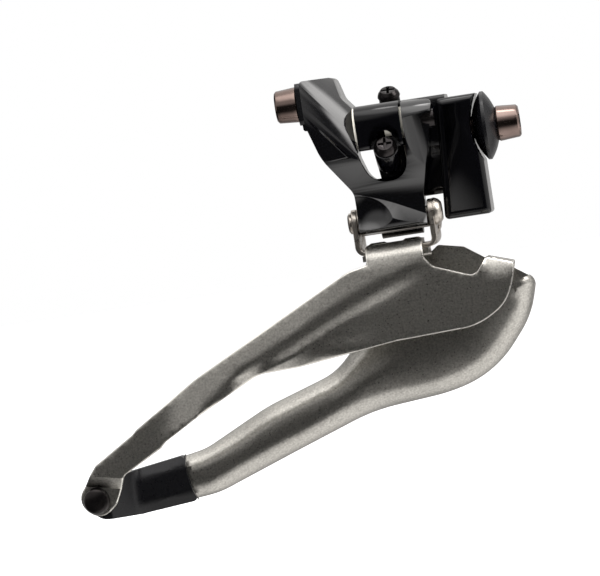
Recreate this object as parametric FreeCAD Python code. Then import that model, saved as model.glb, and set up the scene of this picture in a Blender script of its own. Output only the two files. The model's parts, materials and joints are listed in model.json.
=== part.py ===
import FreeCAD, Part
import math
import os

# Front derailleur for a frame with a hanger tab, in its relaxed position over the small chainring.
# Millimetres. X points forward along the pivots, Y points inboard to the seat tube, Z points up.
# The origin is where the fixing bolt's axis meets the bottom of the curved saddle.

V = FreeCAD.Vector
ALONG_X = V(1, 0, 0)
ALONG_Y = V(0, 1, 0)

# Four-bar linkage, seen along the pivots
LINK_LENGTH = 20.4
REST_LEAN = 9.9
TRAVEL = 35.0
OUTER_PIVOT_Y = -12.0
OUTER_PIVOT_Z = 3.3
PIVOT_PITCH_Y = 9.5
PIVOT_DROP_Z = -1.2

# Fits
RUNNING_GAP = 0.04
SIDE_GAP = 0.15
SEAT_GAP = 0.02

# Mounting block and its saddle
SADDLE_RADIUS = 15.0
BLOCK_FRONT = 1.9
BLOCK_TOP = 7.3
BLOCK_BOTTOM = -19.0
BLOCK_REAR_TOP = -6.6
CHEEK_FRONT = -4.7
CHEEK_BOTTOM = -13.3
BLOCK_REAR_BOTTOM = -8.4
BLOCK_OUTBOARD = -8.0
BLOCK_INBOARD = 7.0

# Knuckle between the fork arms
KNUCKLE_LEFT = -23.9
KNUCKLE_RIGHT = -14.2
KNUCKLE_TOP = 8.1
KNUCKLE_FRONT = -16.9
KNUCKLE_BACK = -6.3
KNUCKLE_BOTTOM = -1.6
ROOF_UNDERSIDE = 5.7
ROOF_BACK = 3.4

# Bolts, washers and pins
BOLT_RADIUS = 2.46
BOLT_HEAD_RADIUS = 3.9
BOLT_TIP_RADIUS = 3.55
BOLT_HEAD_LENGTH = 5.0
HEX_KEY = 5.0
DOME_RIM_RADIUS = 7.5
DOME_BACK_HEIGHT = 2.7
DOME_FRONT_HEIGHT = 2.6
UPPER_PIN_RADIUS = 2.0
UPPER_INNER_PIN_RADIUS = 1.6
LOWER_PIN_RADIUS = 1.5
PIN_HEAD = 1.8
BUSH_WALL = 0.8
PIVOT_WASHER = 0.25
BUSH_FLANGE = 0.5
BUSH_FLANGE_RADIUS = 4.5
REAR_FLANGE_RADIUS = 3.4
LIMIT_SCREW_RADIUS = 1.5
LIMIT_HEAD_RADIUS = 2.5
LIMIT_HEAD_HEIGHT = 1.8

# Outer link, the forged fork
LUG_RADIUS = 4.8
BARREL_RADIUS = 3.1
BARREL_LEFT = -26.7
BARREL_RIGHT = -11.9
RIGHT_ARM_OUTER = -6.9
ARM_FRONT = -17.2
ARM_ROUND = 14.0
TWIST_START = 4.8
FOOT_REACH = -13.6
WEB_FRONT = -11.6
RAMP_TILT = 33.0
FOLD_FALL = math.radians(26.7)
FOLD_X = -26.5
FOLD_Z = -9.6
DISH_RADIUS = 9.0
DISH = V(-24.0, -20.6, -14.0)
SCOOP_RADIUS = 7.0
SCOOP_FOOT = V(-6.2, -20.6, -9.0)
SCOOP_LEAN = V(-0.12, 0, 0.99)
TWIST_EDGE = V(-33.6, ARM_FRONT, 9.2)
TWIST_FALL = math.radians(50.3)
ANCHOR_FACE = -34.8
ANCHOR_Y = -1.0
ANCHOR_Z = 10.7
CABLE_OFFSET = 3.3
CABLE_GROOVE_RADIUS = 0.65
ANCHOR_WASHER = 2.0

# Inner link
INNER_LEFT = -21.7
INNER_RIGHT = -12.5
INNER_LUG_WIDTH = 2.0
INNER_LUG_RADIUS = 3.1
INNER_BARREL_RADIUS = 3.2
INNER_BARREL_LEFT = -23.0
INNER_BARREL_RIGHT = -13.9
INNER_THICKNESS = 2.5
STOP_REACH = 4.2
STOP_LIFT = 2.0
STOP_RADIUS = 0.9

# Return spring
WIRE = 0.8
COIL_PITCH = 1.3
COIL_TURNS = 3

# Cage
SHEET = 1.2
OUTER_FACE = -17.0
CAGE_GAP = 11.8
BRACKET_SHEET = 1.0
EAR_SHEET = 1.2
FLANGE_TOP = -22.0
EAR_LEFT = -28.3
EAR_RIGHT = -10.4
EAR_CORNER = 2.15
FLANGE_LEFT_STEP = 2.25
FLANGE_RIGHT_STEP = 3.15
TAIL_X = -92.3
TAIL_Z = -68.2
TAIL_STEP = 3.2
RIM_DEPTH = 5.0
RIM_ROUND = 4.0
RIM_END = -70.5

RIVET_X = (-23.5, -16.0)
RIVET_Y = -9.0
RIVET_RADIUS = 1.3
RIVET_HEAD = 0.35
NOSE_SLOPE = math.radians(-18)
NOSE_RIVET_X = 1.6
NOSE_RIVET_Z = -31.8
NOSE_RIVET_RADIUS = 0.9

# Limit screws: where they point and where their tips stop
HIGH_INTO = V(0, math.cos(math.radians(35)), -math.sin(math.radians(35)))
LOW_INTO = V(0, math.cos(math.radians(60)), -math.sin(math.radians(60)))
HIGH_X = -18.2
LOW_X = -16.9
HIGH_SEAT = V(HIGH_X, -15.0, -1.7)
LOW_SEAT = V(LOW_X, -1.4, 9.3)
TIP_GAP = 0.15

# Side view of the inner cage plate (x, z, corner radius)
INNER_OUTLINE = [
    (-27.0, -25.4), (-12.6, -25.4, 0.5), (-11.0, -24.2, 1.0), (-5.5, -25.4, 1.0),
    (-1.0, -28.6, 2.0), (4.2, -31.2, 1.0),
    (9.0, -34.6, 2.4), (6.6, -42.6, 20.0), (-3.0, -54.0, 24.0), (-14.0, -56.8, 40.0),
    (-30.8, -58.3, 40.0), (-47.9, -64.3, 30.0), (-67.0, -71.2, 20.0), (-73.0, -71.8),
    (-73.4, -62.0), (-68.6, -61.1, 14.0), (-54.0, -54.0, 40.0), (-38.0, -48.8, 14.0), (-32.0, -43.0, 8.0),
    (-29.0, -34.0, 10.0)]

# Places that follow from the sizes above
LEAN = math.radians(REST_LEAN)
LOWER_OUTER = (OUTER_PIVOT_Y + LINK_LENGTH * math.sin(LEAN),
               OUTER_PIVOT_Z - LINK_LENGTH * math.cos(LEAN))
UPPER_OUTER = (OUTER_PIVOT_Y, OUTER_PIVOT_Z)
UPPER_INNER = (UPPER_OUTER[0] + PIVOT_PITCH_Y, UPPER_OUTER[1] + PIVOT_DROP_Z)
LOWER_INNER = (LOWER_OUTER[0] + PIVOT_PITCH_Y, LOWER_OUTER[1] + PIVOT_DROP_Z)
INNER_FACE = OUTER_FACE + SHEET + CAGE_GAP
FLANGE_LEFT = EAR_LEFT + FLANGE_LEFT_STEP
FLANGE_RIGHT = EAR_RIGHT - FLANGE_RIGHT_STEP


def corner_arc(before, corner, after, radius):
    # start, middle and end of the arc that rounds one corner of a flat outline
    leg_a = (before - corner).normalize()
    leg_b = (after - corner).normalize()
    half = leg_a.getAngle(leg_b) / 2
    reach = radius / math.tan(half)
    bisector = (leg_a + leg_b).normalize()
    centre = corner + bisector * (radius / math.sin(half))
    return corner + leg_a * reach, centre - bisector * radius, corner + leg_b * reach


def outline(corners, place):
    # closed wire through corners (a, b) or rounded corners (a, b, radius)
    points = [place(c[0], c[1]) for c in corners]
    count = len(points)
    edges = []
    starts = []
    ends = []
    for i, corner in enumerate(corners):
        radius = corner[2] if len(corner) > 2 else 0
        if radius > 0:
            start, middle, end = corner_arc(points[i - 1], points[i], points[(i + 1) % count], radius)
            edges.append(Part.Arc(start, middle, end).toShape())
        else:
            start = end = points[i]
        starts.append(start)
        ends.append(end)
    for i in range(count):
        following = starts[(i + 1) % count]
        if ends[i].distanceToPoint(following) > 1e-4:
            edges.append(Part.LineSegment(ends[i], following).toShape())
    return Part.Wire(Part.__sortEdges__(edges))


def slab_xz(corners, y0, y1):
    wire = outline(corners, lambda x, z: V(x, y0, z))
    return Part.Face(wire).extrude(V(0, y1 - y0, 0))


def slab_yz(corners, x0, x1):
    wire = outline(corners, lambda y, z: V(x0, y, z))
    return Part.Face(wire).extrude(V(x1 - x0, 0, 0))


def slab_xy(corners, z0, z1):
    wire = outline(corners, lambda x, y: V(x, y, z0))
    return Part.Face(wire).extrude(V(0, 0, z1 - z0))


def block(x0, x1, y0, y1, z0, z1):
    return Part.makeBox(x1 - x0, y1 - y0, z1 - z0, V(x0, y0, z0))


def rod(x0, x1, centre, radius):
    # round bar along X about a pivot centre (y, z)
    return Part.makeCylinder(radius, x1 - x0, V(x0, centre[0], centre[1]), ALONG_X)


def tube(x0, x1, centre, radius, bore):
    return rod(x0, x1, centre, radius).cut(rod(x0 - 1, x1 + 1, centre, bore))


def turned(profile, origin, axis):
    # solid of revolution: profile is (distance along the axis, radius) from tip to tip
    points = [V(r, 0, a) for a, r in profile]
    wire = Part.makePolygon(points + [points[0]])
    solid = Part.Face(wire).revolve(V(0, 0, 0), V(0, 0, 1), 360)
    turn = FreeCAD.Rotation(V(0, 0, 1), axis)
    solid.Placement = FreeCAD.Placement(origin, turn)
    return solid


def edges_where(shape, test):
    return [e for e in shape.Edges if test(e)]


def limit_screw(seat, inward, length):
    # pan head screw with a cross recess; the seat is where the head meets its base
    body = turned([(-LIMIT_HEAD_HEIGHT, 0), (-LIMIT_HEAD_HEIGHT, 1.7), (-LIMIT_HEAD_HEIGHT * 0.55, 2.3),
                   (-0.35, LIMIT_HEAD_RADIUS), (0, LIMIT_HEAD_RADIUS - 0.15), (0, LIMIT_SCREW_RADIUS),
                   (length - 0.6, LIMIT_SCREW_RADIUS), (length, LIMIT_SCREW_RADIUS - 0.6), (length, 0)],
                  seat, inward)
    recess = Part.makeBox(3.0, 0.6, 1.3, V(-1.5, -0.3, -0.3))
    recess = recess.fuse(Part.makeBox(0.6, 3.0, 1.3, V(-0.3, -1.5, -0.3)))
    turn = FreeCAD.Rotation(V(0, 0, 1), inward)
    recess.Placement = FreeCAD.Placement(seat - inward * LIMIT_HEAD_HEIGHT, turn)
    return body.cut(recess)


def hex_socket(face, into, depth):
    # hexagonal key socket cut from a bolt head
    reach = HEX_KEY / math.sqrt(3)
    points = [V(reach * math.cos(math.radians(60 * i)), reach * math.sin(math.radians(60 * i)), -0.5)
              for i in range(7)]
    solid = Part.Face(Part.makePolygon(points)).extrude(V(0, 0, depth + 0.5))
    solid.Placement = FreeCAD.Placement(face, FreeCAD.Rotation(V(0, 0, 1), into))
    return solid


def tapered_bolt(seat, into, shank):
    # bolt with a round head that tapers towards its face, and a hexagonal socket
    body = turned([(-BOLT_HEAD_LENGTH, 0), (-BOLT_HEAD_LENGTH, BOLT_TIP_RADIUS - 0.4),
                   (-BOLT_HEAD_LENGTH + 0.4, BOLT_TIP_RADIUS), (-0.35, BOLT_HEAD_RADIUS),
                   (0, BOLT_HEAD_RADIUS - 0.25), (0, BOLT_RADIUS), (shank - 0.7, BOLT_RADIUS),
                   (shank, BOLT_RADIUS - 0.7), (shank, 0)], seat, into)
    return body.cut(hex_socket(seat - into * BOLT_HEAD_LENGTH, into, 3.6))


def link_frame(turn):
    # direction of both links after they have swung outboard by a number of degrees
    angle = math.radians(REST_LEAN - turn)
    return V(0, math.sin(angle), -math.cos(angle))


def high_screw_length():
    along = link_frame(TRAVEL)
    facing = V(0, along.z, -along.y)
    pivot = V(HIGH_X, UPPER_INNER[0], UPPER_INNER[1])
    distance = (HIGH_SEAT - pivot).dot(facing) - INNER_THICKNESS / 2 - TIP_GAP
    return distance / -HIGH_INTO.dot(facing)


def stop_centre():
    return (UPPER_INNER[0] + STOP_REACH, UPPER_INNER[1] + STOP_LIFT)


def low_screw_length():
    y, z = stop_centre()
    distance = (V(LOW_X, y, z) - LOW_SEAT).dot(LOW_INTO)
    return distance - STOP_RADIUS - TIP_GAP


def mount_body():
    body = slab_xz([(BLOCK_REAR_TOP, BLOCK_TOP, 0.8), (BLOCK_FRONT, BLOCK_TOP),
                    (BLOCK_FRONT, BLOCK_BOTTOM, 0.8), (BLOCK_REAR_BOTTOM, BLOCK_BOTTOM, 1.0)],
                   BLOCK_OUTBOARD, BLOCK_INBOARD)
    body = body.makeFillet(1.6, edges_where(body, is_long_corner))
    saddle = Part.makeCylinder(SADDLE_RADIUS, 40, V(SADDLE_RADIUS, -20, 0), ALONG_Y)
    body = body.cut(saddle)
    knuckle = slab_yz([(KNUCKLE_FRONT, KNUCKLE_BOTTOM, 1.2), (KNUCKLE_FRONT, KNUCKLE_TOP, 3.4),
                       (ROOF_BACK, KNUCKLE_TOP, 1.5), (ROOF_BACK, ROOF_UNDERSIDE),
                       (KNUCKLE_BACK, ROOF_UNDERSIDE, 1.0), (KNUCKLE_BACK, KNUCKLE_BOTTOM, 1.2)],
                      KNUCKLE_LEFT, KNUCKLE_RIGHT)
    neck_front = OUTER_PIVOT_Y + LUG_RADIUS + 0.5
    roof = slab_yz([(neck_front, ROOF_UNDERSIDE), (neck_front, KNUCKLE_TOP, 1.0),
                    (ROOF_BACK, KNUCKLE_TOP, 1.5), (ROOF_BACK, ROOF_UNDERSIDE)],
                   KNUCKLE_RIGHT - 1, BLOCK_REAR_TOP + 2)
    cheek = slab_yz([(neck_front, KNUCKLE_TOP, 1.0), (5.5, KNUCKLE_TOP, 1.5), (5.5, CHEEK_BOTTOM, 3.0),
                     (CHEEK_FRONT, CHEEK_BOTTOM, 2.0), (CHEEK_FRONT, -5.0, 3.0), (neck_front, -2.0, 3.0)],
                    INNER_RIGHT + SIDE_GAP, BLOCK_REAR_TOP + 2)
    lug = rod(KNUCKLE_LEFT, INNER_LEFT - SIDE_GAP, UPPER_INNER, INNER_LUG_RADIUS)
    lug = lug.fuse(block(KNUCKLE_LEFT, INNER_LEFT - SIDE_GAP, UPPER_INNER[0] - INNER_LUG_RADIUS,
                         UPPER_INNER[0] + INNER_LUG_RADIUS, UPPER_INNER[1], KNUCKLE_TOP - 1))
    screw_boss = Part.makeCylinder(2.7, high_screw_length() - 3.0, HIGH_SEAT, HIGH_INTO)
    for piece in (knuckle, roof, cheek, lug, screw_boss):
        body = body.fuse(piece)
    for bore in mount_bores():
        body = body.cut(bore)
    return body.removeSplitter()


def is_long_corner(edge):
    # the block's four edges that run up its height
    a = edge.Vertexes[0].Point
    b = edge.Vertexes[-1].Point
    return abs(a.z - b.z) > 18 and abs(a.y - b.y) < 0.01


def mount_bores():
    bush_bore = UPPER_PIN_RADIUS + BUSH_WALL + SEAT_GAP
    arch = Part.makeCylinder(3.4, 14, HIGH_SEAT - HIGH_INTO * 14, HIGH_INTO)
    return [
        Part.makeCylinder(BOLT_RADIUS + SEAT_GAP, 12, V(-10, 0, 0), ALONG_X),
        rod(KNUCKLE_LEFT - 1, KNUCKLE_RIGHT + 1, UPPER_OUTER, bush_bore),
        rod(KNUCKLE_LEFT - 1, INNER_RIGHT + 4, UPPER_INNER, UPPER_INNER_PIN_RADIUS + SEAT_GAP),
        arch,
        Part.makeCylinder(LIMIT_SCREW_RADIUS + SEAT_GAP, 30, HIGH_SEAT - HIGH_INTO, HIGH_INTO),
        Part.makeCylinder(LIMIT_SCREW_RADIUS + SEAT_GAP, 8, LOW_SEAT - LOW_INTO, LOW_INTO),
    ]


def low_screw_pad():
    # raised pad on the roof that the top screw's head stands on
    pad = Part.makeCylinder(2.3, 3.2, LOW_SEAT, LOW_INTO)
    return pad


def fixing_washer():
    # lens shaped washer: its back rests in the saddle, its front carries the bolt head
    rim = DOME_BACK_HEIGHT
    back = (DOME_RIM_RADIUS ** 2 + rim ** 2) / (2 * rim)
    front_rim = rim + 0.7
    front = (DOME_RIM_RADIUS ** 2 + DOME_FRONT_HEIGHT ** 2) / (2 * DOME_FRONT_HEIGHT)
    back_ball = Part.makeSphere(back, V(back, 0, 0))
    front_ball = Part.makeSphere(front, V(front_rim + DOME_FRONT_HEIGHT - front, 0, 0))
    disc = Part.makeCylinder(DOME_RIM_RADIUS, 12, V(0, 0, 0), ALONG_X)
    lens = disc.common(back_ball).common(front_ball)
    seat = rim + 0.7 + DOME_FRONT_HEIGHT - 0.5
    lens = lens.cut(block(seat, seat + 5, -10, 10, -10, 10))
    return lens.cut(Part.makeCylinder(BOLT_RADIUS + 0.2, 20, V(-2, 0, 0), ALONG_X))


def fixing_bolt():
    seat = DOME_BACK_HEIGHT + 0.7 + DOME_FRONT_HEIGHT - 0.5
    return tapered_bolt(V(seat, 0, 0), V(-1, 0, 0), seat + 8.5)


def upper_bush(inner_x, direction, flange_radius):
    # flanged bush pressed into one side of the knuckle
    bore = UPPER_PIN_RADIUS + RUNNING_GAP
    flange = tube(min(inner_x, inner_x - direction * BUSH_FLANGE),
                  max(inner_x, inner_x - direction * BUSH_FLANGE), UPPER_OUTER, flange_radius, bore)
    sleeve_end = inner_x + direction * 3.8
    sleeve = tube(min(inner_x, sleeve_end), max(inner_x, sleeve_end), UPPER_OUTER,
                  UPPER_PIN_RADIUS + BUSH_WALL, bore)
    return flange.fuse(sleeve).removeSplitter()


def outer_link():
    # forged fork: the left arm twists up to the cable anchor, the foot swells out over the lower pivot
    left = KNUCKLE_LEFT - BUSH_FLANGE
    right = KNUCKLE_RIGHT + BUSH_FLANGE
    low = LOWER_OUTER
    front_view = slab_xz([
        (ANCHOR_FACE, 15.3, 0.8), (-27.9, 15.3, 1.2), (-26.6, 10.5, 4.0), (left, 7.8, 1.5),
        (left, -2.5, 5.0), (-22.4, -8.8, 4.5), (-14.9, -8.8, 4.0), (right, -3.0, 4.0),
        (right, 8.1, 0.6), (RIGHT_ARM_OUTER, 7.4, 1.2), (-9.5, -3.6, 20.0),
        (BARREL_RIGHT, -12.6, 5.0), (BARREL_RIGHT, low[1]), (BARREL_LEFT, low[1]),
        (BARREL_LEFT, -10.4, 4.0), (-32.2, -2.0, 14.0), (-34.6, 5.6, 6.0)], -25, 12)
    side_view = slab_yz([
        (low[0], low[1] - 1.0), (WEB_FRONT, low[1]), (WEB_FRONT, -11.0, 10.0), (ARM_FRONT, -2.6, 7.0),
        (ARM_FRONT, 8.1, 5.0), (OUTER_PIVOT_Y + LUG_RADIUS, 8.1, 4.6),
        (OUTER_PIVOT_Y + LUG_RADIUS, -0.5, 6.0), (-6.6, -9.0, 6.0), (low[0] + BARREL_RADIUS, low[1])],
        -36, -6)
    arm_side = slab_yz([
        (ARM_FRONT, -2.6, 7.0), (ARM_FRONT, 15.3), (ANCHOR_Y + 4.6, 15.3, 2.5),
        (ANCHOR_Y + 4.6, 6.1, 3.0), (-6.0, 3.2, 4.0), (OUTER_PIVOT_Y + LUG_RADIUS, -2.6)], -36, left)
    arms = front_view.common(side_view.fuse(arm_side)).common(twisted_front())
    link = arms.fuse(foot())
    link = link.cut(Part.makeSphere(DISH_RADIUS, DISH))
    link = link.cut(Part.makeCylinder(SCOOP_RADIUS, 14, SCOOP_FOOT, SCOOP_LEAN))
    pin = rod(-31.5, -5, UPPER_OUTER, UPPER_PIN_RADIUS + SEAT_GAP)
    low_pin = rod(BARREL_LEFT - 1, BARREL_RIGHT + 1, low, LOWER_PIN_RADIUS + RUNNING_GAP)
    anchor = Part.makeCylinder(BOLT_RADIUS + SEAT_GAP, 7.4, V(-36, ANCHOR_Y, ANCHOR_Z), ALONG_X)
    for bore in (pin, low_pin, anchor, cable_groove()):
        link = link.cut(bore)
    return link.removeSplitter()


def twisted_front():
    # room behind a large round whose axis runs down along the arm, so that the arm's face twists
    along = V(math.cos(TWIST_FALL), 0, -math.sin(TWIST_FALL))
    across = V(math.sin(TWIST_FALL), 0, math.cos(TWIST_FALL))
    edge = TWIST_EDGE - across * TWIST_START
    axis = edge + ALONG_Y * ARM_ROUND
    round_face = Part.makeCylinder(ARM_ROUND, 120, axis - along * 60, along)
    behind = block(-100, 40, axis.y, axis.y + 40, -70, 70)
    start = edge - ALONG_Y
    corners = [start - along * 70, start + along * 70, start + along * 70 - across * 60,
               start - along * 70 - across * 60]
    below = Part.Face(Part.makePolygon(corners + [corners[0]])).extrude(ALONG_Y * 40)
    other_arm = block(KNUCKLE_LEFT - BUSH_FLANGE + 0.01, 40, -30, 30, -50, 40)
    return round_face.fuse([behind, below, other_arm])


def foot():
    # swelling over the lower pivot; its top is one slope that runs down to the right
    low = LOWER_OUTER
    sole = low[1] - BARREL_RADIUS
    swell = slab_yz([(low[0] + 1.0, sole), (FOOT_REACH, sole + 0.6, 2.6), (FOOT_REACH, -8.0),
                     (low[0] + 1.0, -8.0)], BARREL_LEFT, BARREL_RIGHT)
    fold = V(math.cos(FOLD_FALL), 0, -math.sin(FOLD_FALL))
    down = V(-math.sin(FOLD_FALL), 0, -math.cos(FOLD_FALL))
    tilt = math.radians(RAMP_TILT)
    slope = down * math.cos(tilt) - ALONG_Y * math.sin(tilt)
    start = V(FOLD_X, WEB_FRONT, FOLD_Z)
    corners = [start - fold * 20 - slope * 20, start + fold * 40 - slope * 20,
               start + fold * 40 + slope * 30, start - fold * 20 + slope * 30]
    into = slope.cross(fold) if slope.cross(fold).y > 0 else fold.cross(slope)
    behind = Part.Face(Part.makePolygon(corners + [corners[0]])).extrude(into * 40)
    return swell.common(behind).fuse(rod(BARREL_LEFT, BARREL_RIGHT, low, BARREL_RADIUS))


def cable_groove():
    # round passage for the shift cable, half in the arm and half in the clamp washer
    start = V(ANCHOR_FACE, ANCHOR_Y + CABLE_OFFSET, ANCHOR_Z - 10)
    return Part.makeCylinder(CABLE_GROOVE_RADIUS, 20, start)


def anchor_washer():
    # clamp plate with a small tab hooked under the arm
    plate = slab_yz([(ANCHOR_Y - 4.5, ANCHOR_Z + 4.5, 1.5), (ANCHOR_Y + 4.5, ANCHOR_Z + 4.5, 1.5),
                     (ANCHOR_Y + 4.5, ANCHOR_Z - 4.7, 1.5), (ANCHOR_Y - 4.5, ANCHOR_Z - 4.7, 1.5)],
                    ANCHOR_FACE - ANCHOR_WASHER, ANCHOR_FACE)
    low = ANCHOR_Z - 4.7
    hook = slab_xz([(ANCHOR_FACE - 1.5, low + 0.5), (ANCHOR_FACE - 1.5, low - 1.4, 0.6),
                    (ANCHOR_FACE - 0.1, low - 1.4), (ANCHOR_FACE - 0.1, low - 0.8),
                    (ANCHOR_FACE - 0.8, low - 0.8), (ANCHOR_FACE - 0.8, low + 0.5)],
                   ANCHOR_Y - 3.2, ANCHOR_Y - 0.6)
    plate = plate.fuse(hook).cut(cable_groove())
    return plate.cut(Part.makeCylinder(BOLT_RADIUS + 0.2, 10, V(ANCHOR_FACE - 5, ANCHOR_Y, ANCHOR_Z),
                                       ALONG_X))


def inner_link():
    along = link_frame(0)
    across = V(0, along.z, -along.y)
    half = INNER_THICKNESS / 2

    def beside(distance, offset):
        y = UPPER_INNER[0] + along.y * distance + across.y * offset
        z = UPPER_INNER[1] + along.z * distance + across.z * offset
        return (y, z)

    front_view = slab_xz([
        (INNER_LEFT, 6.0), (INNER_RIGHT, 6.0), (INNER_RIGHT, -4.0, 3.0),
        (INNER_BARREL_RIGHT, -12.0, 3.0), (INNER_BARREL_RIGHT, -22.0), (INNER_BARREL_LEFT, -22.0),
        (INNER_BARREL_LEFT, -15.0, 2.0), (-20.9, -10.5, 3.0), (INNER_LEFT, -3.0, 3.0)], -10, 12)
    web = slab_yz([beside(0, half), beside(0, -half), beside(LINK_LENGTH, -half),
                   beside(LINK_LENGTH, half)], INNER_BARREL_LEFT, INNER_RIGHT)
    lugs = rod(INNER_LEFT, INNER_RIGHT, UPPER_INNER, INNER_LUG_RADIUS)
    barrel = rod(INNER_BARREL_LEFT, INNER_BARREL_RIGHT, LOWER_INNER, INNER_BARREL_RADIUS)
    stop_y, stop_z = stop_centre()
    root = UPPER_INNER[0] + 1.0
    near = stop_y - STOP_RADIUS
    far = stop_y + STOP_RADIUS
    top = stop_z + STOP_RADIUS
    stop = slab_yz([(root, UPPER_INNER[1] - 2.5), (far, UPPER_INNER[1] - 1.5, 0.8),
                    (far, top, STOP_RADIUS - 0.05), (near, top, STOP_RADIUS - 0.05),
                    (near, UPPER_INNER[1] + 0.5, 0.5), (root, UPPER_INNER[1] + 0.5)],
                   INNER_LEFT, INNER_RIGHT)
    link = front_view.common(web).fuse(lugs).fuse(stop).fuse(barrel)
    well = rod(INNER_LEFT + INNER_LUG_WIDTH, INNER_RIGHT - INNER_LUG_WIDTH, UPPER_INNER,
               INNER_LUG_RADIUS + 0.15)
    link = link.cut(well)
    link = link.cut(rod(INNER_LEFT - 1, INNER_RIGHT + 1, UPPER_INNER, UPPER_INNER_PIN_RADIUS + RUNNING_GAP))
    link = link.cut(rod(INNER_BARREL_LEFT - 1, INNER_BARREL_RIGHT + 1, LOWER_INNER,
                        LOWER_PIN_RADIUS + RUNNING_GAP))
    return link.removeSplitter()


def biarc(start, heading, end, leaving):
    # two tangent arcs that join a point and heading to another point and heading
    gap = end - start
    total = heading + leaving
    spread = 2 * (1 - heading.dot(leaving))
    reach = (-gap.dot(total) + math.sqrt(gap.dot(total) ** 2 + spread * gap.dot(gap))) / spread
    joint = (start + end + (heading - leaving) * reach) * 0.5
    first = tangent_arc(start, start + heading * reach, joint)
    return [first, tangent_arc(joint, end - leaving * reach, end)]


def tangent_arc(start, control, end):
    middle = (start + end) * 0.5
    half_chord = start.distanceToPoint(end) / 2
    rise = control.distanceToPoint(middle)
    sagitta = half_chord * math.tan(math.atan2(rise, half_chord) / 2)
    crown = middle + (control - middle).normalize() * sagitta
    return Part.Arc(start, crown, end).toShape()


def return_spring():
    # torsion spring: one leg under the roof, the turns round the sleeve, one leg down the inner link
    radius = UPPER_INNER_PIN_RADIUS + 0.5 + WIRE / 2
    first_x = (INNER_LEFT + INNER_RIGHT) / 2 - COIL_TURNS * COIL_PITCH / 2
    halves = COIL_TURNS * 2

    def coil_point(half):
        angle = math.radians(180 + 180 * half)
        return V(first_x + COIL_PITCH * half / 2, UPPER_INNER[0] + radius * math.cos(angle),
                 UPPER_INNER[1] + radius * math.sin(angle))

    def coil_heading(half):
        angle = math.radians(180 + 180 * half)
        rise = COIL_PITCH / (2 * math.pi)
        return V(rise, -radius * math.sin(angle), radius * math.cos(angle)).normalize()

    start = coil_point(0)
    fixed_leg = ROOF_UNDERSIDE - UPPER_INNER[1] - 0.1
    edges = [Part.LineSegment(start - coil_heading(0) * fixed_leg, start).toShape()]
    for i in range(halves):
        edges += biarc(coil_point(i), coil_heading(i), coil_point(i + 1), coil_heading(i + 1))
    last = coil_point(halves)
    drop = last + V(0.4, 0.6, -3.4)
    touch = front_of_inner_link(8.5, last.x + 0.6, WIRE / 2 + 0.1)
    slope = (touch - drop).normalize()
    edges += biarc(last, coil_heading(halves), drop, slope)
    edges.append(Part.LineSegment(drop, touch).toShape())
    path = Part.Wire(edges)
    tip = start - coil_heading(0) * fixed_leg
    section = Part.Wire(Part.makeCircle(WIRE / 2, tip, coil_heading(0)))
    sweep = Part.BRepOffsetAPI.MakePipeShell(path)
    sweep.add(section)
    sweep.build()
    sweep.makeSolid()
    print("spring gap between turns", round(least_turn_gap(coil_point, halves), 3))
    return sweep.shape()


def least_turn_gap(coil_point, halves):
    # least distance between the surfaces of the wire one turn apart, on points along the coil
    steps = [i / 16 for i in range((halves - 2) * 16 + 1)]
    near = [i / 16 for i in range(24, 41)]
    return min(coil_point(q).distanceToPoint(coil_point(q + n)) for q in steps for n in near) - WIRE


def front_of_inner_link(distance, x, clear):
    # point in front of the inner link's outboard face, a distance below its upper pivot
    along = link_frame(0)
    facing = V(0, along.z, -along.y)
    pivot = V(x, UPPER_INNER[0], UPPER_INNER[1])
    return pivot + along * distance + facing * (INNER_THICKNESS / 2 + clear)


def spring_sleeve():
    return tube(INNER_LEFT + INNER_LUG_WIDTH + 0.1, INNER_RIGHT - INNER_LUG_WIDTH - 0.1, UPPER_INNER,
                UPPER_INNER_PIN_RADIUS + 0.38, UPPER_INNER_PIN_RADIUS + RUNNING_GAP)


def cage_bracket():
    # folded channel: a base plate and two ears that carry both lower pivots
    base_top = FLANGE_TOP - SHEET
    base_bottom = base_top - BRACKET_SHEET
    ear_top = 4.0 + LOWER_INNER[1]
    outside = slab_xz([(EAR_LEFT, ear_top + 6), (EAR_LEFT, base_bottom, EAR_CORNER),
                       (EAR_RIGHT, base_bottom, EAR_CORNER), (EAR_RIGHT, ear_top + 6)], -20, 20)
    left = EAR_LEFT + EAR_SHEET
    right = EAR_RIGHT - EAR_SHEET
    inner_round = EAR_CORNER - EAR_SHEET
    inside = slab_xz([(left, ear_top + 8), (left, base_top, inner_round),
                      (right, base_top, inner_round), (right, ear_top + 8)], -21, 21)
    channel = outside.cut(inside)
    front = LOWER_OUTER[0] - 2.9
    back = LOWER_INNER[0] + 2.9
    side = slab_yz([(front, base_bottom - 1), (front, LOWER_OUTER[1] + 2.9, 2.85),
                    (LOWER_OUTER[0] + 2.4, LOWER_OUTER[1] + 2.9, 2.0), (back, LOWER_INNER[1] + 2.9, 2.85),
                    (back, base_bottom - 1)], EAR_LEFT - 1, EAR_RIGHT + 1)
    bracket = channel.common(side)
    for centre in (LOWER_OUTER, LOWER_INNER):
        bracket = bracket.cut(rod(EAR_LEFT - 1, EAR_RIGHT + 1, centre, LOWER_PIN_RADIUS + SEAT_GAP))
    return bracket.cut(rivet_holes(base_bottom - 1, base_top + 1))


def rivet_holes(z0, z1):
    holes = [Part.makeCylinder(RIVET_RADIUS + SEAT_GAP, z1 - z0, V(x, RIVET_Y, z0)) for x in RIVET_X]
    return holes[0].fuse(holes[1])


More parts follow.
